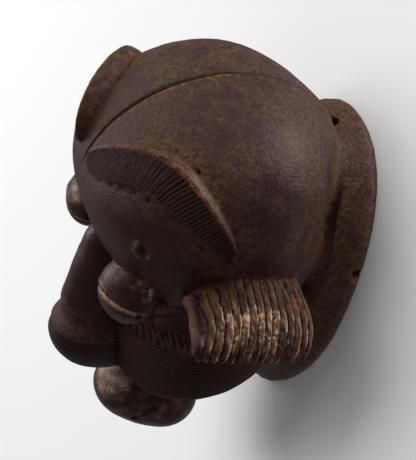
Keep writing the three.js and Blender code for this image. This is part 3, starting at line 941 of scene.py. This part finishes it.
def patinate(skin, on):
    """Keeps on the mesh where the wood is worn, dirty, dusty, warm or glossy, and where shade and light are
    painted.
    """
    points = skin.points
    near, wide = relief(skin)
    height = head_field(points)
    x, y, z = points.T
    on_head = height < 2
    inside = 1 - ramp(-4, -2, height) * ramp(0.2, 1.2, z)
    lips = (np.abs(lips_field(points)) < 1.2).astype(float)
    collar = ramp(COLLAR.height + 2, COLLAR.height - 3, z) * (1 - inside)
    patchy = ramp(-0.15, 0.5, noise_at(points, 3.2, 21.0))
    blotchy = ramp(-0.3, 0.45, noise_at(points, 9, 22.0))
    speckled = ramp(0, 0.4, noise_at(points, 1.3, 31.0))
    fine_cut = np.clip(on.beard + on.brow_face + on.ear_skin, 0, 1)
    patch = {name: spot(points, *where) for name, where in PATCHES.items()}
    along, down = brow_place(points + 0.5 * noise_at(points, 1.5, 13.0)[:, None])
    off_lobe = 1 - on.ear_lobe
    lobe = on.ear_lobe * (1 - on.ear_rim)
    off_band = 1 - on.nose_band

    # Bare wood on the edges that hands and cords have rubbed.
    rim = ramp(0.95, 0.985, collar_share(points)) * (z < 7)
    far_brow = between(0, 0.95, 0.05, on.brow_share) * (on.brow_share > 0) * (x < 0)
    worn = ramp(0.05, 0.2, -near) * 0.25 * patchy * (1 - fine_cut)
    worn += on.brow_edge * (0.55 + hump(on.brow_share, 0.6, 0.3)) * (0.5 + 0.5 * patchy)
    worn += 0.7 * on.line_lip * (0.4 + 0.6 * patchy) + 0.05 * on.nose_edge
    worn += rim * ramp(0.04, 0.2, -near) * (0.1 + 0.5 * patchy)
    worn += (0.3 * on.brow_lip + 0.45 * on.mouth + 0.45 * far_brow * (1 - on.bevel)) * patchy
    worn += 0.5 * patch["bare lobe"] * on.ear_lobe

    # Old dirt in the valleys, round the brows and by the roots of the ears.
    ochre = ramp(0.15, 0.9, wide) * (0.4 + 0.6 * patchy) * (1 - on.beard) + 0.6 * on.bar
    ochre = (ochre + 0.7 * on.ear_skin * (0.2 + 0.8 * blotchy) * off_lobe) * (1 - 0.8 * lips)
    ochre += 0.5 * on.brow_lip + 0.05 * on.nose_band + 0.2 * on.ear_rim
    ochre += 0.25 * collar * blotchy + 0.6 * patch["dirty crown"] * patchy
    over_brow = hump(along, 0.55, 0.5) * hump(down, -0.16, 0.18) * (height < 1.5)
    under_brow = between(0.1, 0.9, 0.08, along) * hump(down, 1.12, 0.12) * (height < 1.5)
    ochre += 0.95 * over_brow * (1 - collar) + 0.5 * under_brow * patchy
    valley = ramp(3, 0, np.abs(height - 1)) * between(5, 17, 3, z) * (1 - inside)
    ochre += 0.45 * valley * (0.4 + 0.6 * blotchy) + 0.4 * on.eye_foot * patchy
    ear_root = stroke(folded(points), EAR_ROOT, 6) * (1 - on.ear_skin)
    ochre += 0.45 * ear_root * (0.3 + 0.7 * patchy)

    # Pale dust on the ear, in the slits of the eyes and on the upper lip, less on the far side.
    right = np.where(x > 0, 1.0, 0.6)
    ear_patch = np.clip(patch["dusty ear"] + patch["dusty ear behind"], 0, 1)
    flecks = ramp(-0.05, 0.3, noise_at(points, 1.1, 33.0))
    low = ramp(0.25, 0.55, on.ear_along)
    dust = ear_patch * on.ear_skin * off_lobe * (0.05 + 0.95 * flecks) * right
    dust += on.ear_edge * (0.1 + 0.9 * low * (0.4 + 0.6 * patchy)) * right + 0.1 * lips * patchy
    dust += on.slit * (0.75 + 0.25 * patchy) + 0.9 * patch["dusty eye corner"] * speckled
    dust += 0.35 * on.eye * ramp(4.5, 8, in_eye_frame(points)[:, 1]) * patchy * speckled
    dust += 0.95 * lips * patch["dusty upper lip"] * (0.3 + 0.7 * patchy)
    dust += 0.75 * on.eye * patch["dusty far eye"] * patchy + 0.4 * on.knot * speckled

    # Black dirt with painted shade in the cuts, pits, comb lines, ear valleys and crown line, and painted
    # shade alone in the wider creases and under the nose.
    crease = ramp(0.3, 1.4, wide) * (1 - fine_cut) * (height < 3)
    dark_dirt_and_shade = 0.9 * on.pit + 0.75 * on.line + 0.9 * on.groove + 0.95 * on.comb + 0.85 * on.ear_valley
    dark_dirt_and_shade += 0.45 * on.nose_under + 0.5 * crease * (1 - on.bar)

    # Where the patina is thick and dark, and where it is thin and lets the wood through, with painted shade
    # and painted light among them.
    crown_patch = np.clip(patch["dark crown"] + patch["dark crown side"], 0, 1)
    crown_patch = crown_patch * ramp(-0.3, 0.25, noise_at(points, 4, 41.0)) * on_head
    # Painted shade: the face below the brows is darker, except on the beard, the nose's band and the cheek
    # bars.
    low_face_shade = ramp(14, 4, y) * on_head * (1 - collar) * (1 - on.beard) * off_band * (1 - on.bar)
    # Painted shade in the hollow under the near brow, which is also glossier.
    brow_overhang_shade = patch["painted shade under brow"] * (1 - on.brow_face)
    deep = 0.65 * on.brow_face + 0.5 * on.beard + 0.9 * on.nose * off_band + 0.8 * low_face_shade
    deep += 0.6 * brow_overhang_shade + 0.9 * lobe + 0.85 * crown_patch
    deep += 0.75 * lips * (1 - 0.4 * patchy) - 0.3 * on.hatched
    # The colour grows lighter towards the top of the head.
    warm = 0.45 * ramp(10, 45, y) + 0.3 * ramp(45, 62, y) + 0.7 * collar
    # Painted light: the brow's bevel, and the ridges between the beard's grooves and between the comb lines,
    # are lighter as if lit.
    warm += 0.45 * on.bevel + 0.3 * on.nose_band + 0.6 * on.hatched
    warm += 0.5 * on.beard * (1 - on.groove) + 0.35 * on.brow_face * (1 - on.comb)
    warm += 0.4 * on.ear_skin + 0.3 * on.ear_rim
    gloss = 0.9 * on.eye + 0.8 * on.nose * off_band + 0.95 * lips + 0.7 * lobe
    gloss += 0.8 * on.bevel + 0.6 * brow_overhang_shade + 0.5 * patch["glossy crown"]
    kept = {
        "worn": worn,
        "ochre": ochre * (1 - on.slit),
        "dust": dust,
        # The hollow back and the rim's underside are black too.
        "dark_dirt_and_shade": np.maximum(dark_dirt_and_shade, inside),
        "deep": deep,
        "warm": warm,
        "gloss": gloss * (1 - inside),
        "ear": on.ear_skin * off_lobe,
    }
    for name, values in kept.items():
        skin.keep(name, np.clip(values, 0, 1))


def thinned(piece):
    """Thins the even skin to the most triangles that the piece may have, least where it is curved."""
    modifier = piece.modifiers.new("Thin flat places", "DECIMATE")
    piece.data.calc_loop_triangles()
    modifier.ratio = min(1, MOST_TRIANGLES / len(piece.data.loop_triangles))
    Skin(applied(piece)).write()


def drop_specks(mesh):
    """Deletes the specks that the even skin leaves loose from the carving."""
    with edited(mesh) as made:
        waiting = [max(made.verts, key=lambda vertex: vertex.co.y)]
        joined = set(waiting)
        while waiting:
            vertex = waiting.pop()
            beside = {edge.other_vert(vertex) for edge in vertex.link_edges} - joined
            joined |= beside
            waiting.extend(beside)
        loose = [vertex for vertex in made.verts if vertex not in joined]
        bmesh.ops.delete(made, geom=loose, context="VERTS")


def patina(colours):
    """Hardwood, hand rubbed and waxed until nearly black: a soft sheen with bare worn edges."""
    material = bpy.data.materials.new("Waxed dark hardwood")
    material.use_nodes = True
    tree = material.node_tree
    tree.nodes.clear()
    place = add_node(tree, "ShaderNodeTexCoord").outputs["Object"]

    def mark(name):
        """A value that the carving keeps on its mesh."""
        return add_node(tree, "ShaderNodeAttribute", {"attribute_name": name}).outputs["Fac"]

    def grain(size, detail, rough, vector=place):
        """Noise with lumps of a size in millimetres."""
        settings = {"Scale": 1 / (size * MM), "Detail": detail, "Roughness": rough}
        return add_node(tree, "ShaderNodeTexNoise", settings, {"Vector": vector}).outputs["Fac"]

    def eased(value, low, high, bottom=0.0, top=1.0):
        """A value's run from low to high, stretched from bottom to top."""
        settings = {"From Min": low, "From Max": high, "To Min": bottom, "To Max": top}
        return add_node(tree, "ShaderNodeMapRange", settings, {"Value": value}).outputs["Result"]

    def worked(kind, first, second):
        """Two numbers or sockets worked together, kept from 0 to 1."""
        node = add_node(tree, "ShaderNodeMath", {"operation": kind, "use_clamp": True})
        for socket, value in zip(node.inputs, (first, second)):
            if isinstance(value, (int, float)):
                socket.default_value = value
            else:
                tree.links.new(value, socket)
        return node.outputs["Value"]

    def times(first, second):
        """The product of two numbers or sockets."""
        return worked("MULTIPLY", first, second)

    def over(below, colour, share):
        """A share of a colour laid over what is below."""
        node = add_node(tree, "ShaderNodeMix", {"data_type": "RGBA"}, {0: share})
        if isinstance(below, str):
            node.inputs[6].default_value = (*linear(below), 1)
        else:
            tree.links.new(below, node.inputs[6])
        node.inputs[7].default_value = (*linear(colour), 1)
        return node.outputs[2]

    # Patches of thin wax, pores and knife grit, and streaks that follow the ear's ridges.
    mottle = grain(9, 8.0, 0.72)
    grit = grain(1.5, 5.0, 0.75)
    speckle = grain(0.8, 3.0, 0.6)
    stretch = add_node(tree, "ShaderNodeMapping", {"Scale": (0.16, 0.16, 1)}, {"Vector": place})
    streak = grain(1.1, 4.0, 0.6, stretch.outputs["Vector"])
    ear, ochre, dark_dirt_and_shade, gloss, dust = (mark(name) for name in ("ear", "ochre", "dark_dirt_and_shade", "gloss", "dust"))

    # Thin wax shows the wood through, darker under painted shade and lighter under painted light, then come
    # dirt, bare edges, black dirt with painted shade, and dust.
    thin = worked("ADD", eased(mottle, 0.42, 0.62, 0.0, 0.6), times(mark("warm"), 0.62))
    thin = times(thin, worked("SUBTRACT", 1.0, mark("deep")))
    thin = times(times(thin, eased(grit, 0.4, 0.56, 0.3, 1.0)), eased(speckle, 0.38, 0.55, 0.35, 1.0))
    unstreaked = worked("SUBTRACT", 1.0, times(ear, eased(streak, 0.46, 0.56, 0.9, 0.0)))
    layers = (
        (colours.warm, thin),
        (colours.ochre, times(ochre, eased(grit, 0.42, 0.56, 0.1, 0.9))),
        (colours.worn, times(mark("worn"), eased(grit, 0.44, 0.54, 0.05, 0.95))),
        (colours.worn, times(times(ear, eased(streak, 0.52, 0.62, 0.0, 0.8)), 0.14)),
        (colours.dark, times(ear, eased(streak, 0.4, 0.5, 0.9, 0.0))),
        (colours.black_dirt_and_shade, times(dark_dirt_and_shade, 0.95)),
        (colours.dust, times(times(dust, eased(speckle, 0.36, 0.52, 0.25, 1.0)), unstreaked)),
    )
    colour = colours.dark
    for laid, share in layers:
        colour = over(colour, laid, share)

    # Dust, dirt and painted shade are matt, and rubbed wax shines and hides the pores.
    matt = worked("ADD", worked("ADD", dust, dark_dirt_and_shade), times(ochre, 0.5))
    rough = worked("ADD", eased(mottle, 0.35, 0.65, 0.42, 0.66), times(matt, 0.35))
    rough = worked("SUBTRACT", rough, times(gloss, 0.24))
    sockets = {"IOR": 1.45, "Specular IOR Level": 0.32, "Specular Tint": (*linear(colours.sheen), 1)}
    shader = add_node(tree, "ShaderNodeBsdfPrincipled", sockets, {"Base Color": colour, "Roughness": rough})
    pores = worked("ADD", times(grit, 0.6), times(speckle, 0.4))
    pores = times(pores, worked("SUBTRACT", 1.0, times(gloss, 0.75)))
    bump = add_node(tree, "ShaderNodeBump", {"Strength": 1.0, "Distance": 0.6 * MM}, {"Height": pores})
    tree.links.new(bump.outputs["Normal"], shader.inputs["Normal"])
    add_node(tree, "ShaderNodeOutputMaterial", links={"Surface": shader.outputs["BSDF"]})
    return material


def lay_floor(look):
    """Lays the pale floor under the mask."""
    mesh = bpy.data.meshes.new("Floor")
    with edited(mesh) as made:
        bmesh.ops.create_grid(made, x_segments=1, y_segments=1, size=FLOOR_HALF)
    floor = added("Floor", mesh)
    # The photo's mask hangs free, so the floor throws no light up at this one.
    floor.visible_diffuse = floor.visible_glossy = floor.visible_shadow = False
    paint = bpy.data.materials.new("Pale matt floor")
    paint.use_nodes = True
    shader = paint.node_tree.nodes["Principled BSDF"]
    shader.inputs["Base Color"].default_value = (*linear(look.floor), 1)
    shader.inputs["Roughness"].default_value = 0.9
    shader.inputs["Specular IOR Level"].default_value = 0.0
    mesh.materials.append(paint)


def place_camera():
    """Places the camera as it was solved on the photo, and tells its directions."""
    data = bpy.data.cameras.new("Camera")
    data.lens, data.sensor_width, data.clip_start = CAMERA.lens, CAMERA.sensor, CAMERA.near
    camera = added("Camera", data)
    across = Vector(CAMERA.across).normalized()
    back = Vector(CAMERA.back).normalized()
    up = back.cross(across).normalized()
    turn = Matrix((across, up, back)).transposed()
    camera.matrix_world = Matrix.Translation(CAMERA.at) @ turn.to_4x4()
    bpy.context.scene.camera = camera
    return across, up, back


def hang_lamp(name, towards, far, size, power):
    """Hangs a round soft lamp some way from the mask, facing it."""
    data = bpy.data.lights.new(name, "AREA")
    data.energy, data.shape, data.size = power, "DISK", size
    lamp = added(name, data)
    lamp.location = Vector(LAMPS_FACE) + towards.normalized() * far
    lamp.rotation_mode = "QUATERNION"
    lamp.rotation_quaternion = towards.to_track_quat("Z", "Y")
    lamp.visible_camera = False


class MASK_OT_carving(bpy.types.Operator):
    """Carves the mask over its plain solid and gives it its patina"""

    bl_idname = "mask.carving"
    bl_label = "Carve the mask"

    def execute(self, context):
        """Makes the piece and hands it to the frame."""
        sizes = context.scene.mask_sizes
        piece = merged_copy()
        mesh = remeshed(piece, sizes.skin)
        refined(mesh)
        skin = Skin(mesh)
        patinate(skin, carve(skin, sizes))
        skin.write()
        thinned(piece)
        drop_specks(piece.data)
        piece.data.shade_smooth()
        piece.data.materials.append(patina(context.scene.mask_colours))
        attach(piece, BODY)
        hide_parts(NODE)
        return {"FINISHED"}


class MASK_OT_stage(bpy.types.Operator):
    """Lays a pale floor, lights it softly and places the camera"""

    bl_idname = "mask.stage"
    bl_label = "Lay the stage"

    def execute(self, context):
        """Makes the floor, the sky, the camera and the lamps."""
        look = context.scene.mask_stage
        lay_floor(look)
        world = bpy.data.worlds.new("Soft sky")
        world.use_nodes = True
        world.node_tree.nodes["Background"].inputs["Strength"].default_value = look.sky
        world.node_tree.nodes["Background"].inputs["Color"].default_value = (1, 1, 1, 1)
        context.scene.world = world
        context.scene.view_settings.view_transform = "Standard"
        across, up, back = place_camera()
        hang_lamp("Overhead_light", up * 0.75 + Vector((0, 0, 0.65)), 1.7, 2.4, look.key)
        hang_lamp("Back_light", across * 0.75 + up * 0.5 + back * 0.15, 1.3, 1.2, look.rim)
        hang_lamp("Side_light", up * 0.35 - across * 0.8 - back * 0.25, 1.3, 0.8, look.side)
        return {"FINISHED"}


class MASK_PT_panel(bpy.types.Panel):
    """Shows the settings of the mask and its stage"""

    bl_label = "Miniature mask"
    bl_idname = "MASK_PT_panel"
    bl_space_type = "VIEW_3D"
    bl_region_type = "UI"
    bl_category = "Mask"

    def draw(self, context):
        """Shows each group of settings and the two operators."""
        scene = context.scene
        for group in (scene.mask_sizes, scene.mask_colours, scene.mask_stage):
            box = self.layout.box()
            for name in group.__annotations__:
                box.prop(group, name)
        for operator in (MASK_OT_carving, MASK_OT_stage):
            self.layout.operator(operator.bl_idname)


CLASSES = (CarvingSizes, PatinaColours, StageLook, MASK_OT_carving, MASK_OT_stage, MASK_PT_panel)


def register():
    """Makes the settings, the operators and the panel known."""
    for cls in CLASSES:
        bpy.utils.register_class(cls)
    bpy.types.Scene.mask_sizes = PointerProperty(type=CarvingSizes)
    bpy.types.Scene.mask_colours = PointerProperty(type=PatinaColours)
    bpy.types.Scene.mask_stage = PointerProperty(type=StageLook)


def unregister():
    """Takes away what register made known."""
    del bpy.types.Scene.mask_stage
    del bpy.types.Scene.mask_colours
    del bpy.types.Scene.mask_sizes
    for cls in reversed(CLASSES):
        bpy.utils.unregister_class(cls)


def main():
    """Makes the mask and its stage."""
    register()
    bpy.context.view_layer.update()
    bpy.ops.mask.carving()
    bpy.ops.mask.stage()


if __name__ == "__main__":
    main()
